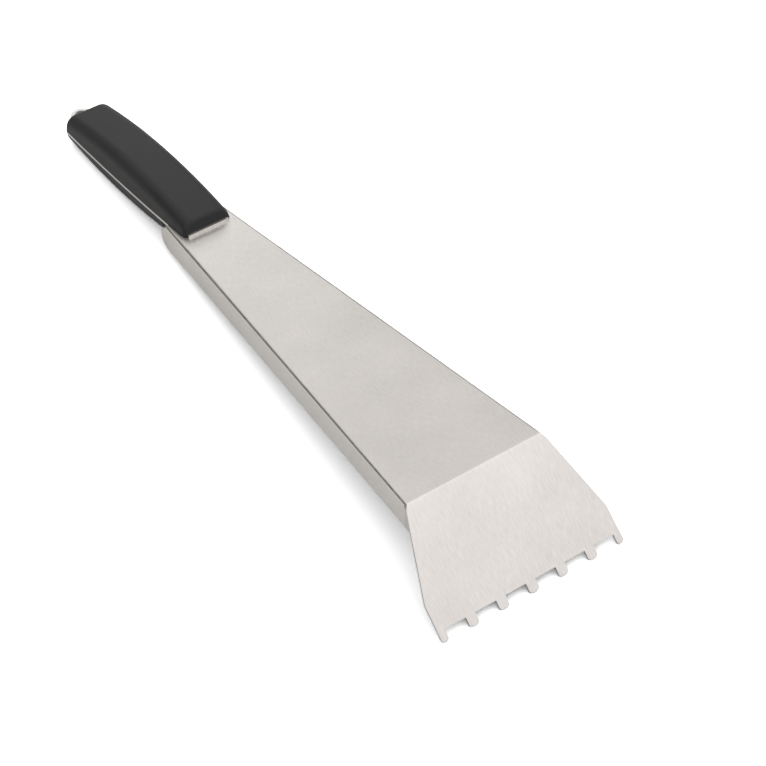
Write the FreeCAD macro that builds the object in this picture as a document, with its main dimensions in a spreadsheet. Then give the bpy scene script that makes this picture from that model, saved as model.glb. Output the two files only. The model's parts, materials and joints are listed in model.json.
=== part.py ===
import FreeCAD, Part
import math
import os

import Sketcher
from FreeCAD import Placement, Rotation, Vector

# Grill scraper: a folded sheet with a toothed blade, held in a two-part moulded grip.
# Every piece is drawn in the frame of the sheet's flat web: X runs forward to the blade,
# Z points up out of the web's top face, and the origin is where the middle line of the
# web crosses the fold of the blade. At the end the whole tool is tipped into its rest on
# the tooth tips and the underside of the grip, and moved over the origin of the part.

# Driving dimensions in millimetres and degrees
SIZES = {
    # flat web of the folded sheet
    "sheet_gauge": 1.5,
    "bend_inside": 0.3,
    "web_length": 250.0,
    "web_rear_half": 16.9,
    "web_front_half": 40.1,
    # side flanges folded down from the web
    "flange_depth": 15.3,
    "flange_heel": 6.2,
    "flange_gap": 0.5,
    # toothed blade, measured along the blade from its fold
    "blade_angle": 45.0,
    "neck_half": 38.9,
    "flare_reach": 2.8,
    "flare_half": 40.7,
    "flare_round": 4.0,
    "cheek_reach": 45.2,
    "cheek_half": 53.4,
    "cheek_round": 4.0,
    "blade_half": 53.7,
    "root_reach": 59.2,
    "tooth_reach": 64.4,
    "tooth_width": 5.45,
    "tooth_pitch": 17.5,
    "gap_count": 6,
    "tooth_round": 1.3,
    # tang inside the grip, and its hanging tab
    "tab_half": 6.0,
    "tab_reach": 5.9,
    "tab_root_round": 2.0,
    "hang_bore": 7.5,
    # grip, common to its two halves
    "grip_lap": 16.0,
    "grip_length": 127.0,
    "grip_mid_half": 15.5,
    "grip_end_half": 14.5,
    "front_round": 2.5,
    "rear_round": 4.0,
    # upper half of the grip
    "upper_middle_rise": 13.2,
    "upper_end_rise": 7.3,
    "upper_shoulder": 6.8,
    "upper_front_lean": 12.0,
    # lower half of the grip, which steps in to enter between the flanges
    "lower_middle_rise": 11.5,
    "lower_end_rise": 5.7,
    "lower_shoulder": 6.0,
    "nose_gap": 0.5,
    # stiffening plate under the upper half
    "plate_half": 12.3,
    "plate_gauge": 1.5,
    "plate_lap": 1.0,
    "plate_inset": 11.0,
    "plate_round": 3.0,
    "plate_gap": 0.1,
    # grip screws and their threaded inserts
    "screw_inset": 23.75,
    "screw_width": 4.0,
    "screw_length": 12.0,
    "screw_gap": 0.25,
    "head_width": 7.2,
    "head_height": 2.6,
    "head_chamfer": 0.6,
    "head_gap": 0.4,
    "seat_depth": 3.5,
    "socket_width": 2.5,
    "socket_depth": 1.4,
    "insert_width": 5.6,
    "insert_length": 6.0,
    "thread_gap": 0.05,
    "bore_relief": 0.5,
}

document = FreeCAD.newDocument("grill_scraper")
sheet = document.addObject("Spreadsheet::Sheet", "sizes")
for row, (alias, value) in enumerate(SIZES.items(), start=1):
    sheet.set(f"A{row}", alias)
    sheet.set(f"B{row}", str(value))
    sheet.setAlias(f"B{row}", alias)
document.recompute()


# Values that carry their spreadsheet formula
class Measure:
    """A number together with the formula over the spreadsheet that gives it."""

    def __init__(self, number, formula=None):
        self.number = float(number)
        self.formula = formula if formula else repr(float(number))

    def __neg__(self):
        return Measure(-self.number, f"(0 - {self.formula})")

    def __add__(self, other):
        other = measure(other)
        return Measure(self.number + other.number, f"({self.formula} + {other.formula})")

    def __sub__(self, other):
        other = measure(other)
        return Measure(self.number - other.number, f"({self.formula} - {other.formula})")

    def __mul__(self, other):
        other = measure(other)
        return Measure(self.number * other.number, f"({self.formula} * {other.formula})")

    def __truediv__(self, other):
        other = measure(other)
        return Measure(self.number / other.number, f"({self.formula} / {other.formula})")


def measure(value):
    return value if isinstance(value, Measure) else Measure(value)


def size(alias):
    return Measure(SIZES[alias], f"sizes.{alias}")


def sine(angle):
    return Measure(math.sin(math.radians(angle.number)), f"sin({angle.formula})")


def cosine(angle):
    return Measure(math.cos(math.radians(angle.number)), f"cos({angle.formula})")


def tangent(angle):
    return Measure(math.tan(math.radians(angle.number)), f"tan({angle.formula})")


def root(value):
    return Measure(math.sqrt(value.number), f"sqrt({value.formula})")


def arcsine(ratio):
    return Measure(math.degrees(math.asin(ratio.number)), f"(asin({ratio.formula}) / 1 deg)")


def slope_angle(rise, run):
    ratio = rise / run
    return Measure(math.degrees(math.atan(ratio.number)), f"(atan({ratio.formula}) / 1 deg)")


def bind(target, path, value):
    target.setExpression(path, measure(value).formula)


# Sketches and features
ORIGIN_POINT = (-1, 1)
START, END, CENTRE = range(1, 4)


def new_body(label):
    body = document.addObject("PartDesign::Body", label)
    body.Label = label
    return body


def new_sketch(body, name, plane, base=(0, 0, 0), axis=None, turn=0):
    """A sketch on an origin plane of its body, moved by base and turned about axis."""
    sketch = body.newObject("Sketcher::SketchObject", name)
    support = next(item for item in body.Origin.OriginFeatures if item.Role == plane)
    sketch.AttachmentSupport = (support, [""])
    sketch.MapMode = "FlatFace"
    base = [measure(value) for value in base]
    turn = measure(turn)
    rotation = Rotation(Vector(*axis), turn.number) if axis else Rotation()
    sketch.AttachmentOffset = Placement(Vector(*(value.number for value in base)), rotation)
    for value, letter in zip(base, "xyz"):
        bind(sketch, f"AttachmentOffset.Base.{letter}", value)
    if axis:
        bind(sketch, "AttachmentOffset.Rotation.Angle", turn)
    return sketch


def pin(sketch, element, point, x=None, y=None):
    """Fix one point of a sketch by bound distances from its origin, along X, Y or both."""
    for kind, value in (("DistanceX", x), ("DistanceY", y)):
        if value is None:
            continue
        value = measure(value)
        rule = Sketcher.Constraint(kind, *ORIGIN_POINT, element, point, value.number)
        index = sketch.addConstraint(rule)
        bind(sketch, f"Constraints[{index}]", value)


def set_radius(sketch, element, radius):
    radius = measure(radius)
    index = sketch.addConstraint(Sketcher.Constraint("Radius", element, radius.number))
    bind(sketch, f"Constraints[{index}]", radius)


def point_of(corner):
    return Vector(measure(corner[0]).number, measure(corner[1]).number, 0)


def add_line(sketch, start, end):
    return sketch.addGeometry(Part.LineSegment(point_of(start), point_of(end)), False)


def join(sketch, chain, smooth=()):
    """Close a chain of edges end to start, running smoothly on after those in smooth.

    An arc that is passed clockwise is given as a pair with the point it is left by.
    """
    links = [link if isinstance(link, tuple) else (link, END) for link in chain]
    for (first, leaving), (second, left_by) in zip(links, links[1:] + links[:1]):
        kind = "Tangent" if first in smooth else "Coincident"
        entered = START if left_by == END else END
        sketch.addConstraint(Sketcher.Constraint(kind, first, leaving, second, entered))


def add_polygon(sketch, corners):
    """A closed outline of straight lines with every corner pinned."""
    ends = corners[1:] + corners[:1]
    lines = [add_line(sketch, start, end) for start, end in zip(corners, ends)]
    join(sketch, lines)
    for line, corner in zip(lines, corners):
        pin(sketch, line, START, *corner)
    return lines


def add_box(sketch, low_x, low_y, high_x, high_y):
    corners = [(low_x, low_y), (high_x, low_y), (high_x, high_y), (low_x, high_y)]
    return add_polygon(sketch, corners)


def add_circle(sketch, x, y, radius):
    shape = Part.Circle(point_of((x, y)), Vector(0, 0, 1), measure(radius).number)
    circle = sketch.addGeometry(shape, False)
    pin(sketch, circle, CENTRE, x, y)
    set_radius(sketch, circle, radius)


def add_arc(sketch, centre, radius, first_angle, last_angle):
    """An arc that runs anticlockwise between two angles in degrees, not yet constrained."""
    circle = Part.Circle(point_of(centre), Vector(0, 0, 1), measure(radius).number)
    low, high = math.radians(first_angle), math.radians(last_angle)
    return sketch.addGeometry(Part.ArcOfCircle(circle, low, high), False)


def finish_feature(feature):
    document.recompute()
    if feature.Shape.isNull() or not feature.Shape.isValid():
        raise ValueError(f"{feature.Name} made no valid solid")
    return feature


def pad(body, name, sketch, length, upward=True):
    feature = body.newObject("PartDesign::Pad", name)
    feature.Profile = sketch
    feature.Reversed = not upward
    bind(feature, "Length", length)
    return finish_feature(feature)


def pocket(body, name, sketch, length=None, upward=False):
    """Cut along the sketch's normal when upward, else against it; through all by default."""
    feature = body.newObject("PartDesign::Pocket", name)
    feature.Profile = sketch
    feature.Reversed = upward
    if length is None:
        feature.Type = "ThroughAll"
    else:
        bind(feature, "Length", length)
    before = body.Shape.Volume
    finish_feature(feature)
    if feature.Shape.Volume >= before:
        raise ValueError(f"{name} cuts nothing")
    return feature


def fillet(body, name, radius, chosen):
    """Round every edge of the body's tip for which the test chosen is true."""
    base = body.Tip
    names = [f"Edge{i}" for i, edge in enumerate(base.Shape.Edges, start=1) if chosen(edge)]
    if not names:
        raise ValueError(f"{name} finds no edge")
    feature = body.newObject("PartDesign::Fillet", name)
    feature.Base = (base, names)
    bind(feature, "Radius", radius)
    return finish_feature(feature)


def near(value, target):
    return abs(value - measure(target).number) < 1e-4


def ends_of(edge):
    return [vertex.Point for vertex in edge.Vertexes]


def upright_at(spots):
    """Test for straight edges along Z that stand at one of the given (x, y) spots."""
    places = [point_of(spot) for spot in spots]

    def chosen(edge):
        points = ends_of(edge)
        if len(points) != 2 or (points[0] - points[1]).Length < 1e-3:
            return False
        flat = [Vector(point.x, point.y, 0) for point in points]
        return any(all((point - place).Length < 1e-3 for point in flat) for place in places)

    return chosen


# Derived places that several pieces share
gauge = size("sheet_gauge")
bend_outside = size("bend_inside") + gauge
web_length = size("web_length")
taper = slope_angle(size("web_front_half") - size("web_rear_half"), web_length)
blade_angle = size("blade_angle")
corner_reach = bend_outside * tangent(blade_angle / 2)

grip_front = size("grip_lap") - web_length
grip_rear = grip_front - size("grip_length")
grip_middle = grip_front - size("grip_length") / 2
grip_sag = size("grip_mid_half") - size("grip_end_half")
half_length = size("grip_length") / 2
grip_bow = (half_length * half_length + grip_sag * grip_sag) / (grip_sag * 2)

hole_x = grip_rear - size("tab_reach")
screw_half = size("screw_width") / 2
screw_places = {
    "front": grip_front - size("screw_inset"),
    "rear": grip_rear + size("screw_inset"),
}
clearance_radius = screw_half + size("screw_gap")


def cut_screw_holes(body, radius, prefix):
    """Two clearance holes through a flat piece."""
    sketch = new_sketch(body, f"{prefix}_hole_sketch", "XY_Plane", (0, 0, size("plate_gauge")))
    for place in screw_places.values():
        add_circle(sketch, place, 0, radius)
    pocket(body, f"{prefix}_holes", sketch)


def grip_half_width(x):
    """Half width of the grip's outline at x, on the arc through its middle and its ends."""
    offset = x - grip_middle
    drop = math.sqrt(grip_bow.number ** 2 - offset.number ** 2)
    formula = f"sqrt({grip_bow.formula} ^ 2 - {offset.formula} ^ 2)"
    return Measure(drop, formula) - grip_bow + size("grip_mid_half")


# Folded sheet: web, tang, flanges and blade
def make_web(body):
    """Flat middle of the web, as wide as the flanges' bends leave it and the blade's neck."""
    sketch = new_sketch(body, "web_sketch", "XY_Plane")
    lost = bend_outside / cosine(taper)
    rear = size("web_rear_half") - lost
    step = corner_reach + gauge
    front = size("web_front_half") - lost - step * tangent(taper)
    neck = size("neck_half")
    right = [(-web_length, rear), (-step, front), (-step, neck), (0, neck)]
    left = [(x, -y) for x, y in reversed(right)]
    add_polygon(sketch, right + left)
    pad(body, "web", sketch, gauge, upward=False)


def make_tang(body):
    """The web runs on between the grip's halves, with the outline of the grip."""
    sketch = new_sketch(body, "tang_sketch", "XY_Plane")
    width = grip_half_width(-web_length)
    end = size("grip_end_half")
    bow_centre = grip_bow - size("grip_mid_half")
    lean_front = math.degrees(math.asin((-web_length - grip_middle).number / grip_bow.number))
    lean_rear = math.degrees(math.asin(half_length.number / grip_bow.number))
    low = add_arc(sketch, (grip_middle, bow_centre), grip_bow, 270 - lean_rear, 270 + lean_front)
    front = add_line(sketch, (-web_length, -width), (-web_length, width))
    high = add_arc(sketch, (grip_middle, -bow_centre), grip_bow, 90 - lean_front, 90 + lean_rear)
    rear = add_line(sketch, (grip_rear, end), (grip_rear, -end))
    join(sketch, [low, front, high, rear])
    pin(sketch, low, CENTRE, grip_middle, bow_centre)
    pin(sketch, high, CENTRE, grip_middle, -bow_centre)
    pin(sketch, front, START, -web_length, -width)
    pin(sketch, front, END, x=-web_length)
    pin(sketch, rear, START, grip_rear, end)
    pin(sketch, rear, END, x=grip_rear)
    pad(body, "tang", sketch, gauge, upward=False)
    fillet(body, "tang_corners", size("rear_round"),
           upright_at([(grip_rear, end), (grip_rear, -end)]))


def make_tab(body):
    """Round-ended tab behind the grip, with the hole that hangs the tool on a hook."""
    sketch = new_sketch(body, "tab_sketch", "XY_Plane")
    half = size("tab_half")
    inner = grip_rear + half
    low = add_line(sketch, (hole_x, -half), (inner, -half))
    front = add_line(sketch, (inner, -half), (inner, half))
    high = add_line(sketch, (inner, half), (hole_x, half))
    end = add_arc(sketch, (hole_x, 0), half, 90, 270)
    join(sketch, [low, front, high, end])
    pin(sketch, low, START, hole_x, -half)
    pin(sketch, front, START, inner, -half)
    pin(sketch, high, START, inner, half)
    pin(sketch, end, CENTRE, hole_x, 0)
    sketch.addConstraint(Sketcher.Constraint("Vertical", end, START, end, END))
    pad(body, "tab", sketch, gauge, upward=False)
    fillet(body, "tab_roots", size("tab_root_round"),
           upright_at([(grip_rear, half), (grip_rear, -half)]))
    hole_sketch = new_sketch(body, "hang_hole_sketch", "XY_Plane")
    add_circle(hole_sketch, hole_x, 0, size("hang_bore") / 2)
    pocket(body, "hang_hole", hole_sketch)


def make_flanges(body):
    """Bend strip and upright leg of one flange, then the mirror image of both."""
    corner = (-web_length, -size("web_rear_half"))
    run = web_length / cosine(taper)

    depth = size("flange_depth")
    heel = size("flange_heel")
    drop = depth - heel
    slant = heel / root(drop * drop - heel * heel)
    spill = bend_outside * slant

    start = (corner[1], 0, corner[0])
    bend = new_sketch(body, "bend_sketch", "YZ_Plane", start, (0, 1, 0), -taper)
    overlap = bend_outside + gauge
    centre = (bend_outside, -bend_outside)
    top = add_line(bend, (overlap, 0), (bend_outside, 0))
    outer = add_arc(bend, centre, bend_outside, 90, 180)
    foot = add_line(bend, (0, -bend_outside), (gauge, -bend_outside))
    inner = add_arc(bend, centre, size("bend_inside"), 90, 180)
    under = add_line(bend, (bend_outside, -gauge), (overlap, -gauge))
    side = add_line(bend, (overlap, -gauge), (overlap, 0))
    join(bend, [top, outer, foot, (inner, START), under, side])
    pin(bend, top, START, overlap, 0)
    pin(bend, top, END, x=bend_outside)
    pin(bend, outer, CENTRE, *centre)
    pin(bend, foot, START, 0, -bend_outside)
    pin(bend, foot, END, gauge, -bend_outside)
    pin(bend, inner, CENTRE, *centre)
    pin(bend, under, START, x=bend_outside)
    pin(bend, under, END, overlap, -gauge)
    strip = pad(body, "flange_bend", bend, run - corner_reach)

    setback = (gauge + size("flange_gap")) / sine(blade_angle)

    def front_edge(fall):
        """Distance along the flange at which it meets the gap behind the blade."""
        return (web_length - setback + fall / tangent(blade_angle)) / cosine(taper)

    start = (-web_length, 0, size("web_rear_half"))
    leg = new_sketch(body, "leg_sketch", "XZ_Plane", start, (0, 1, 0), -taper)
    touch = 180 - math.degrees(math.atan(slant.number))
    lower = add_line(leg, (0, -depth), (front_edge(depth), -depth))
    front = add_line(leg, (front_edge(depth), -depth), (front_edge(bend_outside), -bend_outside))
    upper = add_line(leg, (front_edge(bend_outside), -bend_outside), (-spill, -bend_outside))
    back = add_line(leg, (-spill, -bend_outside), (-heel, -drop))
    round_end = add_arc(leg, (0, -drop), heel, touch, 270)
    join(leg, [lower, front, upper, back, round_end], smooth=[back])
    pin(leg, lower, START, 0, -depth)
    pin(leg, front, START, front_edge(depth), -depth)
    pin(leg, upper, START, front_edge(bend_outside), -bend_outside)
    pin(leg, back, START, -spill, -bend_outside)
    pin(leg, round_end, CENTRE, 0, -drop)
    upright = pad(body, "flange_leg", leg, gauge, upward=False)

    mirror = body.newObject("PartDesign::Mirrored", "second_flange")
    mirror.Originals = [strip, upright]
    plane = next(item for item in body.Origin.OriginFeatures if item.Role == "XZ_Plane")
    mirror.MirrorPlane = (plane, [""])
    body.Tip = mirror
    finish_feature(mirror)


def make_blade(body):
    """Flared blade drawn flat on its slope, with a row of gaps that leaves the teeth."""
    slope = ("XY_Plane", (0, 0, 0), (0, 1, 0), blade_angle)
    sketch = new_sketch(body, "blade_sketch", *slope)
    neck = size("neck_half")
    reach, half = size("flare_reach"), size("flare_half")
    cheek = (size("cheek_reach"), size("cheek_half"))
    tip = (size("tooth_reach"), size("blade_half"))

    # The steep side of the neck runs into the gentle side of the cheek through a round
    radius = size("flare_round")
    steep = slope_angle(half - neck, reach)
    gentle = slope_angle(cheek[1] - half, cheek[0] - reach)
    cut_back = radius * tangent((steep - gentle) / 2)
    behind = (reach - cut_back * cosine(steep), half - cut_back * sine(steep))
    ahead = (reach + cut_back * cosine(gentle), half + cut_back * sine(gentle))
    centre = (behind[0] + radius * sine(steep), behind[1] - radius * cosine(steep))

    def low(corner):
        """The same corner on the other side of the middle line."""
        return (corner[0], -measure(corner[1]))

    front = add_line(sketch, low(tip), tip)
    high_cheek = add_line(sketch, tip, cheek)
    high_side = add_line(sketch, cheek, ahead)
    high_flare = add_arc(sketch, centre, radius, 90 + gentle.number, 90 + steep.number)
    high_neck = add_line(sketch, behind, (0, neck))
    fold = add_line(sketch, (0, neck), (0, -neck))
    low_neck = add_line(sketch, (0, -neck), low(behind))
    low_flare = add_arc(sketch, low(centre), radius, 270 - steep.number, 270 - gentle.number)
    low_side = add_line(sketch, low(ahead), low(cheek))
    low_cheek = add_line(sketch, low(cheek), low(tip))
    join(sketch, [front, high_cheek, high_side, high_flare, high_neck,
                  fold, low_neck, low_flare, low_side, low_cheek])
    pin(sketch, front, START, *low(tip))
    pin(sketch, high_cheek, START, *tip)
    pin(sketch, high_side, START, *cheek)
    pin(sketch, high_flare, START, x=ahead[0])
    pin(sketch, high_flare, CENTRE, *centre)
    pin(sketch, high_neck, START, *behind)
    pin(sketch, fold, START, 0, neck)
    pin(sketch, low_neck, START, 0, -neck)
    pin(sketch, low_flare, START, x=behind[0])
    pin(sketch, low_flare, CENTRE, *low(centre))
    pin(sketch, low_side, START, *low(ahead))
    pin(sketch, low_cheek, START, *low(cheek))
    pad(body, "blade", sketch, gauge, upward=False)

    gap_sketch = new_sketch(body, "gap_sketch", *slope)
    count = size("gap_count")
    pitch = size("tooth_pitch")
    half_gap = (pitch - size("tooth_width")) / 2
    first = -(pitch * (count - 1) / 2)
    past_tips = size("tooth_reach") + pitch
    add_box(gap_sketch, size("root_reach"), first - half_gap, past_tips, first + half_gap)
    gap = pocket(body, "first_gap", gap_sketch)
    row = body.newObject("PartDesign::LinearPattern", "gap_row")
    row.Originals = [gap]
    row.Direction = (gap_sketch, ["V_Axis"])
    bind(row, "Length", pitch * (count - 1))
    bind(row, "Occurrences", count)
    body.Tip = row
    finish_feature(row)


def round_blade(body):
    """Rounded cheeks and teeth of the blade, and the fold's outer and inner radius."""
    along = Vector(math.cos(math.radians(SIZES["blade_angle"])), 0,
                   -math.sin(math.radians(SIZES["blade_angle"])))
    across = Vector(-along.z, 0, along.x)

    def through_blade(reach, half=None):
        """Test for edges through the blade's thickness at a reach and, if given, a half width."""
        def chosen(edge):
            points = ends_of(edge)
            if len(points) != 2 or abs(points[0].y - points[1].y) > 1e-4:
                return False
            span = points[1] - points[0]
            if abs(abs(span.dot(across)) - SIZES["sheet_gauge"]) > 1e-4:
                return False
            middle = (points[0] + points[1]) / 2
            if abs(middle.dot(along) - SIZES[reach]) > 1e-3:
                return False
            return half is None or near(abs(middle.y), SIZES[half])
        return chosen

    fillet(body, "cheek_rounds", size("cheek_round"), through_blade("cheek_reach", "cheek_half"))
    fillet(body, "tooth_rounds", size("tooth_round"), through_blade("tooth_reach"))

    inner_x = -gauge * tangent(blade_angle / 2)

    def along_fold(x, z):
        def chosen(edge):
            return all(near(point.x, x) and near(point.z, z) for point in ends_of(edge))
        return chosen

    fillet(body, "fold_outside", bend_outside, along_fold(0, 0))
    fillet(body, "fold_inside", size("bend_inside"), along_fold(inner_x, -gauge))


def make_scraper_sheet():
    body = new_body("scraper_sheet")
    make_web(body)
    make_blade(body)
    round_blade(body)
    make_flanges(body)
    make_tang(body)
    make_tab(body)
    cut_screw_holes(body, clearance_radius, "tang")
    return body


# Stiffening plate
def make_plate():
    """Flat bar on the tang that carries the upper half of the grip along its length."""
    body = new_body("handle_plate")
    sketch = new_sketch(body, "plate_sketch", "XY_Plane")
    half = size("plate_half")
    rear = grip_rear + size("plate_inset")
    add_box(sketch, rear, -half, grip_front + size("plate_lap"), half)
    pad(body, "plate", sketch, size("plate_gauge"))
    fillet(body, "plate_corners", size("plate_round"), upright_at([(rear, half), (rear, -half)]))
    cut_screw_holes(body, clearance_radius, "plate")
    return body


# Moulded grip, drawn a little past the faces that it is then cut to
SPARE = 2


class Arch:
    """Sizes of one grip half: its arch, its shoulder and the draft that narrows the ends."""

    def __init__(self, half):
        self.middle_rise = size(f"{half}_middle_rise")
        self.shoulder = size(f"{half}_shoulder")
        sag = self.middle_rise - size(f"{half}_end_rise")
        self.radius = (half_length * half_length + sag * sag) / (sag * 2)
        self.draft = grip_sag / sag


def grip_section(body, base_z, sign, arch):
    """Cross-section at the middle of the grip, about the centre of its arch.

    The walls are drafted so that the outline narrows as it drops away to the ends,
    and the shoulders meet them and the flat crown smoothly. The sign is 1 for the upper
    half and -1 for the lower one, and the walls run on past the parting face to be cut.
    """
    centre_z = base_z + (arch.middle_rise - arch.radius) * sign
    sketch = new_sketch(body, "section_sketch", "YZ_Plane", (0, centre_z, grip_middle))
    shoulder = arch.shoulder
    stretch = root(arch.draft * arch.draft + 1)
    flat = size("grip_mid_half") + arch.draft * (shoulder - arch.middle_rise) - shoulder * stretch
    foot = (arch.radius - arch.middle_rise - SPARE) * sign
    foot_half = size("grip_mid_half") + arch.draft * SPARE
    centre = (arch.radius - shoulder) * sign
    crown = arch.radius * sign
    touch = (flat + shoulder / stretch, centre + shoulder * arch.draft / stretch * sign)

    lean = math.degrees(math.atan(arch.draft.number))
    turn = (lean, 90) if sign > 0 else (270, 360 - lean)
    far_turn = (90, 180 - lean) if sign > 0 else (180 + lean, 270)
    base = add_line(sketch, (-foot_half, foot), (foot_half, foot))
    right = add_line(sketch, (foot_half, foot), touch)
    near_round = add_arc(sketch, (flat, centre), shoulder, *turn)
    top = add_line(sketch, (flat, crown), (-flat, crown))
    far_round = add_arc(sketch, (-flat, centre), shoulder, *far_turn)
    left = add_line(sketch, (-touch[0], touch[1]), (-foot_half, foot))
    leaving = END if sign > 0 else START
    join(sketch, [base, right, (near_round, leaving), top, (far_round, leaving), left])
    pin(sketch, base, START, -foot_half, foot)
    pin(sketch, base, END, foot_half, foot)
    pin(sketch, right, END, *touch)
    pin(sketch, near_round, CENTRE, flat, centre)
    pin(sketch, top, START, x=flat)
    pin(sketch, top, END, x=-flat)
    pin(sketch, far_round, CENTRE, -flat, centre)
    pin(sketch, left, START, -touch[0], touch[1])
    return sketch


def turn_grip(body, base_z, sign, arch, front_lean):
    """Half of the grip, turned about the centre of its arch and cut to its side outline."""
    turned = body.newObject("PartDesign::Revolution", "shell")
    turned.Profile = grip_section(body, base_z, sign, arch)
    turned.ReferenceAxis = (turned.Profile[0], ["H_Axis"])
    turned.Midplane = True
    reach = (half_length + SPARE) / (arch.radius - arch.middle_rise - SPARE)
    bind(turned, "Angle", arcsine(reach) * 2)
    finish_feature(turned)

    side = new_sketch(body, "side_sketch", "XZ_Plane")
    top = base_z + (arch.middle_rise + SPARE) * sign
    recede = tangent(front_lean) * (arch.middle_rise + SPARE)
    past = arch.middle_rise * 3 + SPARE
    add_polygon(side, [(grip_rear, base_z), (grip_front, base_z), (grip_front - recede, top),
                       (grip_rear, top)])
    add_box(side, grip_rear - past, base_z - past, grip_front + past, base_z + past)
    trim = body.newObject("PartDesign::Pocket", "side_outline")
    trim.Profile = side
    trim.SideType = "Symmetric"
    bind(trim, "Length", size("grip_mid_half") * 4)
    finish_feature(trim)

    def rim(x, slope):
        """Test for the edges of an end face, apart from the one on the parting face."""
        def chosen(edge):
            points = ends_of(edge)
            on_face = all(near(point.x, x.number - slope * (point.z - base_z.number) * sign)
                          for point in points)
            return on_face and not all(near(point.z, base_z) for point in points)
        return chosen

    slope = math.tan(math.radians(front_lean.number))
    fillet(body, "rear_rounds", size("rear_round"), rim(grip_rear, 0))
    fillet(body, "front_rounds", size("front_round"), rim(grip_front, slope))


def make_upper_grip():
    """Upper half of the grip, hollowed below for the plate and bored for the inserts."""
    body = new_body("upper_grip")
    turn_grip(body, measure(0), 1, Arch("upper"), size("upper_front_lean"))
    gap = size("plate_gap")
    half = size("plate_half") + gap
    recess = new_sketch(body, "recess_sketch", "XY_Plane")
    rear = grip_rear + size("plate_inset") - gap
    add_box(recess, rear, -half, grip_front + size("front_round"), half)
    pocket(body, "plate_recess", recess, size("plate_gauge"), upward=True)
    bores = new_sketch(body, "bore_sketch", "XY_Plane")
    for place in screw_places.values():
        add_circle(bores, place, 0, size("insert_width") / 2)
    depth = size("plate_gauge") + size("insert_length") + size("bore_relief")
    pocket(body, "insert_bores", bores, depth, upward=True)
    return body


def make_lower_grip():
    """Lower half of the grip, whose nose enters between the flanges."""
    body = new_body("lower_grip")
    under = -gauge
    turn_grip(body, under, -1, Arch("lower"), measure(0))

    nose_rear = -web_length - size("flange_heel") - size("nose_gap")
    heel_loss = tangent(taper) * size("flange_heel")
    inner_wall = size("web_rear_half") - gauge / cosine(taper) - heel_loss
    nose_half = inner_wall - size("nose_gap")
    past = size("grip_mid_half") * 2
    sides = new_sketch(body, "nose_sketch", "XY_Plane")
    for sign in (1, -1):
        low, high = sorted((nose_half * sign, past * sign), key=lambda value: value.number)
        add_box(sides, nose_rear, low, grip_front + past, high)
    pocket(body, "nose_sides", sides)

    holes = new_sketch(body, "screw_sketch", "XY_Plane")
    heads = new_sketch(body, "head_sketch", "XY_Plane", (0, 0, under - size("seat_depth")))
    for place in screw_places.values():
        add_circle(holes, place, 0, clearance_radius)
        add_circle(heads, place, 0, size("head_width") / 2 + size("head_gap"))
    pocket(body, "screw_holes", holes)
    pocket(body, "head_bores", heads)
    return body


# Grip screws and inserts
def make_screw(name, place):
    """Socket screw, turned about its axis, with its head in the lower half of the grip."""
    body = new_body(f"{name}_screw")
    seat = -gauge - size("seat_depth")
    sketch = new_sketch(body, "turning_sketch", "XZ_Plane", (place, 0, 0))
    half_head = size("head_width") / 2
    foot = seat - size("head_height")
    chamfer = size("head_chamfer")
    corners = [
        (0, foot),
        (half_head - chamfer, foot),
        (half_head, foot + chamfer),
        (half_head, seat),
        (screw_half, seat),
        (screw_half, seat + size("screw_length")),
        (0, seat + size("screw_length")),
    ]
    add_polygon(sketch, corners)
    turned = body.newObject("PartDesign::Revolution", "turned")
    turned.Profile = sketch
    turned.ReferenceAxis = (sketch, ["V_Axis"])
    turned.Angle = 360
    finish_feature(turned)

    socket = new_sketch(body, "socket_sketch", "XY_Plane", (place, 0, foot))
    corner_radius = size("socket_width") / math.sqrt(3)
    corners = []
    for step in range(6):
        angle = math.radians(60 * step)
        corners.append((corner_radius * math.cos(angle), corner_radius * math.sin(angle)))
    add_polygon(socket, corners)
    pocket(body, "socket", socket, size("socket_depth"), upward=True)
    return body


def make_insert(name, place):
    """Threaded insert moulded into the upper half of the grip."""
    body = new_body(f"{name}_insert")
    sketch = new_sketch(body, "ring_sketch", "XY_Plane", (0, 0, size("plate_gauge")))
    add_circle(sketch, place, 0, size("insert_width") / 2)
    add_circle(sketch, place, 0, screw_half + size("thread_gap"))
    pad(body, "ring", sketch, size("insert_length"))
    return body


# Rest of the whole tool on a flat floor: first guess in degrees, and millimetres of error
REST_GUESS = 5.0
LEVEL_ERROR = 1e-6


def lowest(shape, tip):
    turned = shape.copy()
    turned.rotate(Vector(0, 0, 0), Vector(0, 1, 0), -tip)
    return turned.optimalBoundingBox(False, False).ZMin


def rest_angle(front_shape, rear_shape):
    """Tip, in degrees, that brings the teeth and the grip to the same level."""
    def step(tip):
        return lowest(front_shape, tip) - lowest(rear_shape, tip)

    last, tip = 0.0, REST_GUESS
    last_step, tip_step = step(last), step(tip)
    while abs(tip_step) > LEVEL_ERROR:
        last, tip = tip, tip - tip_step * (tip - last) / (tip_step - last_step)
        last_step, tip_step = tip_step, step(tip)
    return tip


def rest_placement(bodies, tip):
    """Tip the tool about its fold, then set it on Z = 0 over the middle of its length."""
    turn = Placement(Vector(0, 0, 0), Rotation(Vector(0, 1, 0), -tip))
    whole = Part.Compound([body.Shape for body in bodies])
    whole.Placement = turn
    box = whole.optimalBoundingBox(False, False)
    shift = Vector(-(box.XMin + box.XMax) / 2, -(box.YMin + box.YMax) / 2, -box.ZMin)
    return Placement(shift, Rotation()).multiply(turn)


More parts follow.
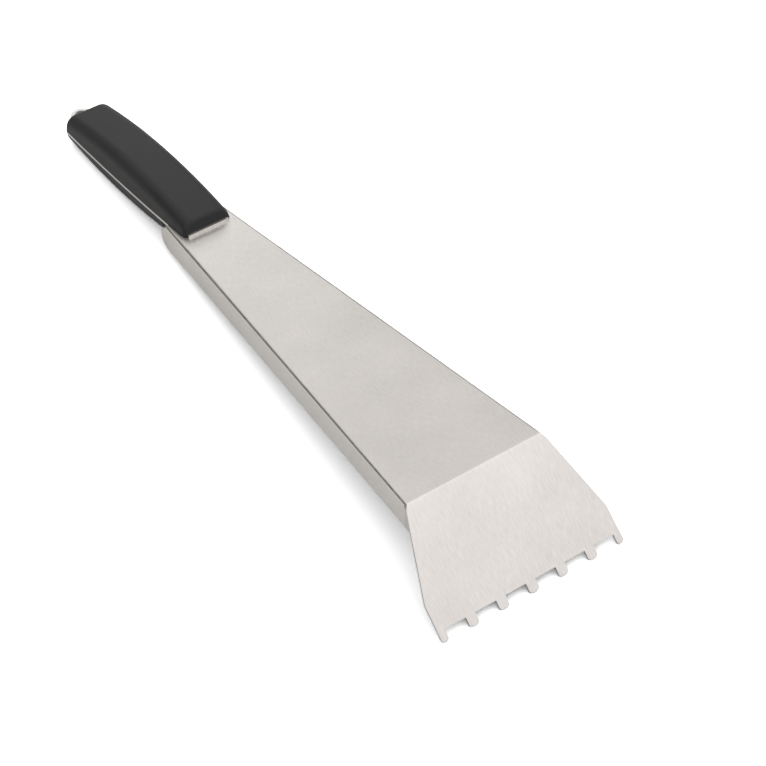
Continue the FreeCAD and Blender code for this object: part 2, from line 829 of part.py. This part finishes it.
def main():
    scraper_sheet = make_scraper_sheet()
    lower_grip = make_lower_grip()
    bodies = [scraper_sheet, make_plate(), make_upper_grip(), lower_grip]
    for name, place in screw_places.items():
        bodies += [make_screw(name, place), make_insert(name, place)]
    document.recompute()

    tip = rest_angle(scraper_sheet.Shape, lower_grip.Shape)
    rest = rest_placement(bodies, tip)
    for body in bodies:
        body.Placement = rest
    document.recompute()

    for item in document.Objects:
        if "Invalid" in item.State or "Error" in item.State:
            raise ValueError(f"{item.Name} failed: {item.State}")
    for body in bodies:
        if body.Shape.isNull() or not body.Shape.isValid():
            raise ValueError(f"{body.Label} has no valid shape")

    os.makedirs("parts", exist_ok=True)
    for body in bodies:
        body.Shape.exportStep(f"parts/{body.Label}.step")
        box = body.Shape.optimalBoundingBox(False, False)
        print(body.Label, len(body.Shape.Solids), round(body.Shape.Volume, 1),
              [round(value, 2) for value in (box.XMin, box.YMin, box.ZMin,
                                             box.XMax, box.YMax, box.ZMax)])
    centre = rest.multVec(Vector(hole_x.number, 0, -SIZES["sheet_gauge"] / 2))
    print("tip", round(tip, 4), "hang hole centre", centre)


main()
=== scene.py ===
# %% [markdown]
# # A grill scraper on a white table
# The tool is one folded sheet of stainless steel with a toothed blade, held in a dark moulded
# grip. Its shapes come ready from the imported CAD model, so this lesson is about the rest of a
# product picture: a camera that matches a photograph, a studio that steel looks right in, and
# procedural finishes for rolled steel, cut edges, moulded plastic, zinc and brass.

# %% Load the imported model
import bpy
import json
import math
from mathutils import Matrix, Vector

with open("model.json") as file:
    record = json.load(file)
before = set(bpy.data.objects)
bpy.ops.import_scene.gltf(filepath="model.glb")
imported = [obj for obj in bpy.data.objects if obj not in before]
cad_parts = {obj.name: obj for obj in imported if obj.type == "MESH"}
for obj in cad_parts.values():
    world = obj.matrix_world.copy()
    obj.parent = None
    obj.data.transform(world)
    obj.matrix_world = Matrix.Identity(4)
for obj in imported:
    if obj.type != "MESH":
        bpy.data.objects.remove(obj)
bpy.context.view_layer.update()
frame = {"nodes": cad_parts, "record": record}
print("nodes:", ", ".join(sorted(frame["nodes"])))

# %% [markdown]
# ## Camera
# The photograph was taken from in front of the blade, above it and to its right, with a long
# lens that keeps the tool's lines nearly parallel. A camera can be placed by typing its
# location and angles, but it is easier to read when it is given as the point it looks at, a
# direction and a distance, so a small helper turns degrees into a direction. The same helper
# places the lamps later on.

# %% A direction from two angles
def direction(azimuth, elevation):
    """Unit vector to a place in the sky, by degrees round from +X and up from the floor."""
    around, up = math.radians(azimuth), math.radians(elevation)
    return Vector((math.cos(up) * math.cos(around), math.cos(up) * math.sin(around), math.sin(up)))


print("straight up is", [round(value, 3) for value in direction(0, 90)])

# %% Camera
scene = bpy.context.scene
scene.view_settings.view_transform = "Standard"
aim = Vector((0.05738, 0.02097, 0.0))
towards_camera = direction(azimuth=-35.386, elevation=45.763)
camera_distance = 1.29657
camera_roll = math.radians(0.08)
bpy.ops.object.select_all(action="DESELECT")
bpy.ops.object.camera_add(location=aim + towards_camera * camera_distance)
camera = bpy.context.object
camera.name = "photo_camera"
camera.rotation_euler = (aim - camera.location).to_track_quat("-Z", "Y").to_euler()
camera.rotation_euler.rotate_axis("Z", camera_roll)
camera.data.lens = 120.45
camera.data.sensor_width = 36.0
scene.camera = camera
print("camera at", [round(value, 3) for value in camera.location])

# %% [markdown]
# ## Small helpers for nodes
# Materials are built from nodes, and in code each node needs a line to make it and a line for
# every wire. One helper that makes a node and fills or wires its sockets at once keeps a
# material short enough to read from top to bottom. Five small ones make the nodes that come
# back most, such as a sum, a mix and the ramp that turns a pattern into a finish. The last
# three start a material, start a node group, which is how one effect is shared by several
# materials, and put a material on pieces of the tool.

# %% Helpers that make nodes
noise_low, noise_high = 0.3, 0.7


def add_node(tree, kind, sockets=None, **settings):
    """A new node with its settings, each socket given a value or wired to another node's output."""
    node = tree.nodes.new(kind)
    for name, value in settings.items():
        setattr(node, name, value)
    for socket, value in (sockets or {}).items():
        if isinstance(value, bpy.types.NodeSocket):
            tree.links.new(value, node.inputs[socket])
        else:
            node.inputs[socket].default_value = value
    return node


def add_math(tree, operation, first, second):
    """The result of one sum on two numbers or outputs."""
    return add_node(tree, "ShaderNodeMath", {0: first, 1: second}, operation=operation).outputs[0]


def add_dot(tree, vector, along):
    """How far a vector reaches along another one."""
    sockets = {0: vector, 1: along}
    return add_node(tree, "ShaderNodeVectorMath", sockets, operation="DOT_PRODUCT").outputs["Value"]


def add_mix(tree, factor, first, second, data_type="FLOAT"):
    """Goes from the first value or colour to the second as the factor goes from 0 to 1."""
    sockets = {"Factor": factor, "A": first, "B": second}
    return add_node(tree, "ShaderNodeMix", sockets, data_type=data_type).outputs["Result"]


def add_range(tree, value, start, end):
    """Spreads the part of a noise where nearly all of it lies over a range of its own."""
    sockets = {"Value": value, "From Min": noise_low, "From Max": noise_high}
    sockets.update({"To Min": start, "To Max": end})
    return add_node(tree, "ShaderNodeMapRange", sockets).outputs["Result"]


def add_ramp(tree, value, dark, light):
    """Turns the same part of a noise into a colour between two."""
    ramp = add_node(tree, "ShaderNodeValToRGB", {"Fac": value})
    ramp.color_ramp.elements[0].position = noise_low
    ramp.color_ramp.elements[0].color = (*dark, 1)
    ramp.color_ramp.elements[1].position = noise_high
    ramp.color_ramp.elements[1].color = (*light, 1)
    return ramp.outputs["Color"]


print("node helpers: add_node, add_math, add_dot, add_mix, add_range, add_ramp")

# %% Helpers that start a material or a group
def new_material(name):
    """A node material, and its node tree and shader."""
    material = bpy.data.materials.new(name)
    material.use_nodes = True
    return material, material.node_tree, material.node_tree.nodes["Principled BSDF"]


def new_group(name, inputs, outputs):
    """A shader node group of numbers with named ends, and its two end nodes."""
    group = bpy.data.node_groups.new(name, "ShaderNodeTree")
    for label, value in inputs.items():
        socket = group.interface.new_socket(label, in_out="INPUT", socket_type="NodeSocketFloat")
        socket.default_value = value
    for label in outputs:
        group.interface.new_socket(label, in_out="OUTPUT", socket_type="NodeSocketFloat")
    return group, group.nodes.new("NodeGroupInput"), group.nodes.new("NodeGroupOutput")


def dress(material, *names):
    """Gives a material to CAD nodes, whose meshes stay as they are."""
    for name in names:
        slots = frame["nodes"][name].data.materials
        slots.clear()
        slots.append(material)
    print(material.name, "is on", ", ".join(names))


print("start helpers: new_material, new_group, dress")

# %% [markdown]
# ## Grain of rolled steel
# Stainless sheet is finished between rollers and belts that leave fine streaks all in one
# direction, here along the tool, and the folded flanges and blade carry the same streaks with
# them. A stretched noise gives such streaks. It is read at the distance along the tool and the
# distance across it, and on the flanges, which stand upright, height takes the place of the
# distance across, so that the streaks turn down the fold as they do on the real sheet. A
# second, large noise gives the faint clouds that any rolled sheet shows in even light. Both go
# in a group, because the bar under the grip and the screws use them again at other sizes.

# %% Grain group
upright_from = 0.7


def build_rolled_grain():
    """Group rolled_grain: streaks along X and slow clouds, each from 0 to 1."""
    sizes = {"Streaks per Metre": 1500.0, "Stretch": 6.0, "Clouds per Metre": 30.0}
    group, start, end = new_group("rolled_grain", sizes, ["Streaks", "Clouds"])
    place = add_node(group, "ShaderNodeTexCoord")
    spot = add_node(group, "ShaderNodeSeparateXYZ", {0: place.outputs["Object"]})
    facing = add_node(group, "ShaderNodeSeparateXYZ", {0: place.outputs["Normal"]})
    sideways = add_math(group, "ABSOLUTE", facing.outputs["Y"], 0.0)
    on_flange = add_math(group, "GREATER_THAN", sideways, upright_from)
    across = add_mix(group, on_flange, spot.outputs["Y"], spot.outputs["Z"])
    fine = start.outputs["Streaks per Metre"]
    slow = add_math(group, "DIVIDE", fine, start.outputs["Stretch"])
    run = add_math(group, "MULTIPLY", spot.outputs["X"], slow)
    row = add_math(group, "MULTIPLY", across, fine)
    lines = add_node(group, "ShaderNodeCombineXYZ", {"X": run, "Y": row})
    look = {"Vector": lines.outputs[0], "Scale": 1.0, "Detail": 2.0, "Roughness": 0.6}
    streaks = add_node(group, "ShaderNodeTexNoise", look)
    look = {"Vector": place.outputs["Object"], "Detail": 3.0}
    look["Scale"] = start.outputs["Clouds per Metre"]
    clouds = add_node(group, "ShaderNodeTexNoise", look)
    group.links.new(streaks.outputs["Fac"], end.inputs["Streaks"])
    group.links.new(clouds.outputs["Fac"], end.inputs["Clouds"])
    return group


rolled_grain = build_rolled_grain()
print("group", rolled_grain.name, "has", len(rolled_grain.nodes), "nodes")

# %% [markdown]
# ## Cut faces of the sheet, and painted shade along the flange foot
# The sheet was cut before it was folded. A cut face is torn rather than rolled: it has no
# streaks, it is duller, and it catches the light as a thin line round the blade and the
# teeth. Those faces could get a second material slot, but then the CAD mesh would have to be
# changed. They are found by direction instead: ahead of the fold and behind the flanges, a
# face that turns away from both the web's and the blade's own direction is a cut face. The
# lowest 0.6 mm of each flange gets the same darker colour, which paints shade as a dark line
# along the flange's foot. The web faces the way the hanging hole runs, and the blade slopes
# down from the fold at 39.6 degrees to the table.

# %% Where the sheet turns
blade_slope = 39.644
web_normal = Vector(frame["record"]["mounts"][0]["axis"])
blade_normal = direction(0.0, 90.0 - blade_slope)
fold_x = 0.161
rear_x = -0.100
sheet = frame["nodes"]["scraper_sheet"].data
flange_points = [point.co for point in sheet.vertices if rear_x < point.co.x < fold_x]
flange_foot = min(web_normal.dot(point) for point in flange_points)
print("web faces", [round(value, 4) for value in web_normal])
print("blade faces", [round(value, 4) for value in blade_normal])
print("lowest point of the flanges, from the web's direction:", round(flange_foot * 1000, 2), "mm")

# %% Cut face group, with the painted shade along the flange foot
rolled_from = 0.8
# painted shade: the lowest 0.6 mm of each flange is marked for the darker cut colour, as a dark
# line along its foot
painted_foot_shade = 0.0006


def build_sheared_faces_and_foot_shade():
    """Group of cut faces and foot shade: Mask is 1 on the cut faces of the sheet and on a painted
    shade strip along each flange's foot, and 0 on the other rolled faces.
    """
    group, _, end = new_group("sheared_faces_and_foot_shade", {}, ["Mask"])
    place = add_node(group, "ShaderNodeTexCoord")
    spot = add_node(group, "ShaderNodeSeparateXYZ", {0: place.outputs["Object"]})
    flat = []
    for normal in (web_normal, blade_normal):
        along = add_dot(group, place.outputs["Normal"], normal)
        flat.append(add_math(group, "ABSOLUTE", along, 0.0))
    rolled = add_math(group, "MAXIMUM", flat[0], flat[1])
    torn = add_math(group, "LESS_THAN", rolled, rolled_from)
    ahead = add_math(group, "GREATER_THAN", spot.outputs["X"], fold_x)
    behind = add_math(group, "LESS_THAN", spot.outputs["X"], rear_x)
    ends = add_math(group, "MAXIMUM", ahead, behind)
    cut = add_math(group, "MULTIPLY", torn, ends)
    # painted shade: a thin strip along the foot of each flange, between the rear and the fold,
    # joins the mask
    level = add_dot(group, place.outputs["Object"], web_normal)
    low = add_math(group, "LESS_THAN", level, flange_foot + painted_foot_shade)
    middle = add_math(group, "SUBTRACT", 1.0, ends)
    foot = add_math(group, "MULTIPLY", low, middle)
    group.links.new(add_math(group, "MAXIMUM", cut, foot), end.inputs["Mask"])
    return group


sheared_faces_and_foot_shade = build_sheared_faces_and_foot_shade()
print("group", sheared_faces_and_foot_shade.name, "has", len(sheared_faces_and_foot_shade.nodes), "nodes")

# %% [markdown]
# ## Folded sheet
# The sheet is satin stainless steel, 1.5 mm thick. A metal's colour is the colour of what it
# reflects, so the base colour is a pale warm grey and the metallic value is one. Steel could
# also be made with an anisotropic shader, but at this size the soft reflection of a medium
# roughness looks the same and is easier to steer. The streaks and clouds change the colour a
# little, as on a real sheet, and the streaks the roughness too. A very low bump breaks up the
# reflections, and the cut faces get a colour and a roughness of their own.

# %% Sheet steel
dark_steel = (0.545, 0.529, 0.502)
pale_steel = (0.690, 0.670, 0.633)
# the duller colour of the cut faces, also used as painted shade along the foot of each flange
cut_steel_and_foot_shade = (0.540, 0.520, 0.510)
cut_rough = 0.5


def build_sheet_steel():
    """Satin sheet with rolled streaks, duller cut faces and a painted shade line along the flange
    foot.
    """
    material, tree, shader = new_material("satin_sheet")
    grain = add_node(tree, "ShaderNodeGroup", node_tree=rolled_grain)
    cut = add_node(tree, "ShaderNodeGroup", node_tree=sheared_faces_and_foot_shade)
    cloud_share = 0.35
    tone = add_mix(tree, cloud_share, grain.outputs["Streaks"], grain.outputs["Clouds"])
    face = add_ramp(tree, tone, dark_steel, pale_steel)
    # the mask holds the cut faces and the painted shade line along each flange's foot, and both get
    # the cut colour
    colour = add_mix(tree, cut.outputs["Mask"], face, (*cut_steel_and_foot_shade, 1), "RGBA")
    face_rough = add_range(tree, grain.outputs["Streaks"], 0.34, 0.42)
    rough = add_mix(tree, cut.outputs["Mask"], face_rough, cut_rough)
    relief = {"Height": grain.outputs["Streaks"], "Strength": 0.15, "Distance": 0.00005}
    bump = add_node(tree, "ShaderNodeBump", relief)
    tree.links.new(colour, shader.inputs["Base Color"])
    tree.links.new(rough, shader.inputs["Roughness"])
    tree.links.new(bump.outputs["Normal"], shader.inputs["Normal"])
    shader.inputs["Metallic"].default_value = 1.0
    return material


dress(build_sheet_steel(), "scraper_sheet")

# %% [markdown]
# ## Bar under the grip
# A flat bar of the same kind of steel lies on the tang, under the upper half of the grip. Only
# its long sides and its front end show, as a bright line under the dark grip. It is cut from
# drawn bar, which is brighter than the sheet and has longer, wider streaks. That could be a new
# pattern, but the grain group gives it with fewer streaks per metre and more stretch, and only
# the colour has to be lighter.

# %% Plate steel
dark_bar = (0.74, 0.72, 0.70)
pale_bar = (0.81, 0.79, 0.77)


def build_plate_steel():
    """Bright drawn bar with long streaks."""
    material, tree, shader = new_material("satin_plate")
    sizes = {"Streaks per Metre": 900.0, "Stretch": 14.0}
    grain = add_node(tree, "ShaderNodeGroup", sizes, node_tree=rolled_grain)
    colour = add_ramp(tree, grain.outputs["Streaks"], dark_bar, pale_bar)
    rough = add_range(tree, grain.outputs["Clouds"], 0.30, 0.36)
    tree.links.new(colour, shader.inputs["Base Color"])
    tree.links.new(rough, shader.inputs["Roughness"])
    shader.inputs["Metallic"].default_value = 1.0
    return material


dress(build_plate_steel(), "handle_plate")

# %% [markdown]
# ## Moulded skin
# The grip is charcoal plastic from a mould whose walls were given a fine grain, so the skin
# scatters light into a broad, faint sheen. The grain could be a picture wrapped round the
# grip, but a fine noise in the grip's own space has no seams and stays sharp from near by. A
# large noise adds the slow changes of sheen that a hand and the mould leave.

# %% Skin group
def build_moulded_skin():
    """Group moulded_skin: fine grains and slow clouds, each from 0 to 1."""
    sizes = {"Grains per Metre": 2200.0, "Clouds per Metre": 45.0}
    group, start, end = new_group("moulded_skin", sizes, ["Grains", "Clouds"])
    place = add_node(group, "ShaderNodeTexCoord").outputs["Object"]
    look = {"Vector": place, "Scale": start.outputs["Grains per Metre"], "Detail": 2.0}
    grains = add_node(group, "ShaderNodeTexNoise", look)
    look = {"Vector": place, "Scale": start.outputs["Clouds per Metre"], "Detail": 3.0}
    clouds = add_node(group, "ShaderNodeTexNoise", look)
    group.links.new(grains.outputs["Fac"], end.inputs["Grains"])
    group.links.new(clouds.outputs["Fac"], end.inputs["Clouds"])
    return group


moulded_skin = build_moulded_skin()
print("group", moulded_skin.name, "has", len(moulded_skin.nodes), "nodes")

# %% [markdown]
# ## Two halves of the grip
# The halves come from two moulds but from the same plastic. They could share one material. Here
# one function builds a material for each, so that the lower half, which lies on the table and
# wears more, can be a shade rougher than the upper one.

# %% Grip plastic
dark_charcoal = (0.018, 0.018, 0.018)
pale_charcoal = (0.024, 0.024, 0.024)


def build_grip_plastic(name, smooth, rough):
    """Charcoal plastic with a grained skin, between a smooth and a rough limit."""
    material, tree, shader = new_material(name)
    skin = add_node(tree, "ShaderNodeGroup", node_tree=moulded_skin)
    cloud_share = 0.6
    tone = add_mix(tree, cloud_share, skin.outputs["Grains"], skin.outputs["Clouds"])
    colour = add_ramp(tree, tone, dark_charcoal, pale_charcoal)
    sheen = add_range(tree, skin.outputs["Clouds"], smooth, rough)
    relief = {"Height": skin.outputs["Grains"], "Strength": 0.25, "Distance": 0.00008}
    bump = add_node(tree, "ShaderNodeBump", relief)
    tree.links.new(colour, shader.inputs["Base Color"])
    tree.links.new(sheen, shader.inputs["Roughness"])
    tree.links.new(bump.outputs["Normal"], shader.inputs["Normal"])
    shader.inputs["Specular IOR Level"].default_value = 0.30
    return material


dress(build_grip_plastic("upper_grip_plastic", 0.48, 0.55), "upper_grip")
dress(build_grip_plastic("lower_grip_plastic", 0.51, 0.59), "lower_grip")

# %% [markdown]
# ## Screws and inserts
# Two socket screws go up through the lower half of the grip, and two brass inserts in the upper
# half hold them. The screws are zinc plated, which gives a bluish grey with soft spots, and the
# inserts are turned from brass, which is bare and warm. They could be two materials of their
# own, but both are metals with soft spots in the colour and fine marks in the roughness, so one
# function makes them from two colours.

# %% Zinc and brass
rough_spread = 0.04


def build_fastener(name, dark, light, rough):
    """Metal of small turned parts, with faint clouds and fine marks."""
    material, tree, shader = new_material(name)
    sizes = {"Streaks per Metre": 3000.0, "Stretch": 1.5, "Clouds per Metre": 300.0}
    grain = add_node(tree, "ShaderNodeGroup", sizes, node_tree=rolled_grain)
    colour = add_ramp(tree, grain.outputs["Clouds"], dark, light)
    marks = add_range(tree, grain.outputs["Streaks"], rough - rough_spread, rough + rough_spread)
    tree.links.new(colour, shader.inputs["Base Color"])
    tree.links.new(marks, shader.inputs["Roughness"])
    shader.inputs["Metallic"].default_value = 1.0
    return material


zinc = build_fastener("zinc_plating", (0.42, 0.43, 0.45), (0.56, 0.57, 0.58), 0.34)
brass = build_fastener("turned_brass", (0.56, 0.40, 0.17), (0.70, 0.52, 0.25), 0.30)
dress(zinc, "front_screw", "rear_screw")
dress(brass, "front_insert", "rear_insert")

# %% [markdown]
# ## White table
# In the photograph the table is so bright that it turns pure white a few millimetres from the
# tool, and only the soft shadow at the contact is left. More light would wash out the steel
# as well, so the brightness is in the table's colour, and only for what the camera sees of it.
# The steel sees an ordinary white table. Light that has already bounced off a matt surface
# finds it darker, so that the shadow under the blade stays deep.

# %% Table top
bpy.ops.mesh.primitive_plane_add(size=12.0, location=(0, 0, 0))
floor = bpy.context.object
floor.name = "white_table"
print("table is", [round(value, 1) for value in floor.dimensions], "metres")

# %% Table finish
white_seen = (1.78, 1.78, 1.78, 1)
white_lit = (0.89, 0.88, 0.87, 1)
white_bounced = (0.10, 0.10, 0.10, 1)
floor_material, tree, shader = new_material("white_table")
rays = add_node(tree, "ShaderNodeLightPath")
bounced = add_math(tree, "GREATER_THAN", rays.outputs["Diffuse Depth"], 0.5)
plain = add_mix(tree, bounced, white_lit, white_bounced, "RGBA")
colour = add_mix(tree, rays.outputs["Is Camera Ray"], plain, white_seen, "RGBA")
tree.links.new(colour, shader.inputs["Base Color"])
shader.inputs["Roughness"].default_value = 0.9
shader.inputs["Specular IOR Level"].default_value = 0.0
floor.data.materials.append(floor_material)
print(floor_material.name, "is on", floor.name)

# %% [markdown]
# ## Studio sky
# Steel shows the room around it. In the photograph the fold is a bright line and the bends
# between web and flanges are dark lines, which tells that the studio is bright overhead and
# black low down behind the tool. A picture of a studio could be wrapped round the scene, but a
# ramp over the height of a direction gives mirrored light that shape with five stops, and
# leaning the height a little to the front keeps the steel pale from most other sides. The soft
# light that falls on the table needs another sky, which comes evenly from above and behind,
# with less from in front, as the shadows show. Is Glossy Ray chooses between the two, and
# Is Camera Ray makes the backdrop white.

# %% Two skies
def sky_ramp(tree, value, stops):
    """Brightness over 0 to 1, as a ramp with one stop for each pair of place and colour."""
    ramp = add_node(tree, "ShaderNodeValToRGB", {"Fac": value})
    elements = ramp.color_ramp.elements
    elements[0].position, elements[0].color = stops[0][0], (*stops[0][1], 1)
    elements[1].position, elements[1].color = stops[-1][0], (*stops[-1][1], 1)
    for place, colour in stops[1:-1]:
        elements.new(place).color = (*colour, 1)
    return ramp.outputs["Color"]


mirrored_stops = [
    (0.34, (0.0, 0.0, 0.0)),
    (0.46, (1.28, 1.26, 1.26)),
    (0.62, (1.18, 1.15, 1.17)),
    (0.88, (0.95, 0.92, 0.94)),
    (0.97, (1.50, 1.46, 1.49)),
]
soft_stops = [(0.0, (0.22, 0.22, 0.22)), (1.0, (1.14, 1.14, 1.14))]
print("mirrored sky has", len(mirrored_stops), "stops and the soft sky", len(soft_stops))

# %% World
leaning_up = (0.25, 0.17, 1.0)
up_and_behind = (-0.8, 0.0, 0.6)
darkest, brightest = -0.55, 0.15
white = (1.0, 1.0, 1.0, 1)
world = bpy.data.worlds.new("studio")
scene.world = world
world.use_nodes = True
tree = world.node_tree
sight = add_node(tree, "ShaderNodeTexCoord").outputs["Generated"]
height = add_dot(tree, sight, leaning_up)
mirrored = sky_ramp(tree, height, mirrored_stops)
span = {"Value": add_dot(tree, sight, up_and_behind), "From Min": darkest, "From Max": brightest}
soft = sky_ramp(tree, add_node(tree, "ShaderNodeMapRange", span).outputs["Result"], soft_stops)
rays = add_node(tree, "ShaderNodeLightPath")
lighting = add_mix(tree, rays.outputs["Is Glossy Ray"], soft, mirrored, "RGBA")
seen = add_mix(tree, rays.outputs["Is Camera Ray"], lighting, white, "RGBA")
tree.links.new(seen, tree.nodes["Background"].inputs["Color"])
print("world", world.name, "has", len(tree.nodes), "nodes")

# %% [markdown]
# ## Softboxes
# The web, the blade and the shoulder of the grip each have a faint brighter area in the
# photograph, where a lamp is reflected. A lamp is seen in a flat face where the direction from
# the camera is mirrored at that face, so each softbox stands in a mirrored direction and looks
# at its own part of the tool. They could be bright patches of the sky, but a lamp is easier to
# move. They are weak, because the sky does most of the lighting, and the camera doesn't see
# them.

# %% Softboxes
def add_softbox(name, target, azimuth, elevation, distance, size, power):
    """A square lamp that faces a point on the tool."""
    spot = target + direction(azimuth, elevation) * distance
    bpy.ops.object.light_add(type="AREA", location=spot)
    lamp = bpy.context.object
    lamp.name = name
    lamp.data.size = size
    lamp.data.energy = power
    lamp.rotation_euler = (target - spot).to_track_quat("-Z", "Y").to_euler()
    lamp.visible_camera = False
    print(name, "at", [round(value, 3) for value in spot])


web_middle = Vector((0.0, -0.02, 0.03))
fold_middle = Vector((0.15, -0.02, 0.04))
grip_rear = Vector((-0.18, 0.0, 0.02))
over_web = {"azimuth": 152.0, "elevation": 29.0, "distance": 0.70}
over_fold = {"azimuth": 34.0, "elevation": 43.8, "distance": 0.45}
over_grip = {"azimuth": 152.0, "elevation": 22.0, "distance": 0.50}
add_softbox("web_softbox", web_middle, **over_web, size=0.32, power=0.13)
add_softbox("blade_softbox", fold_middle, **over_fold, size=0.20, power=0.05)
add_softbox("grip_softbox", grip_rear, **over_grip, size=0.20, power=0.15)
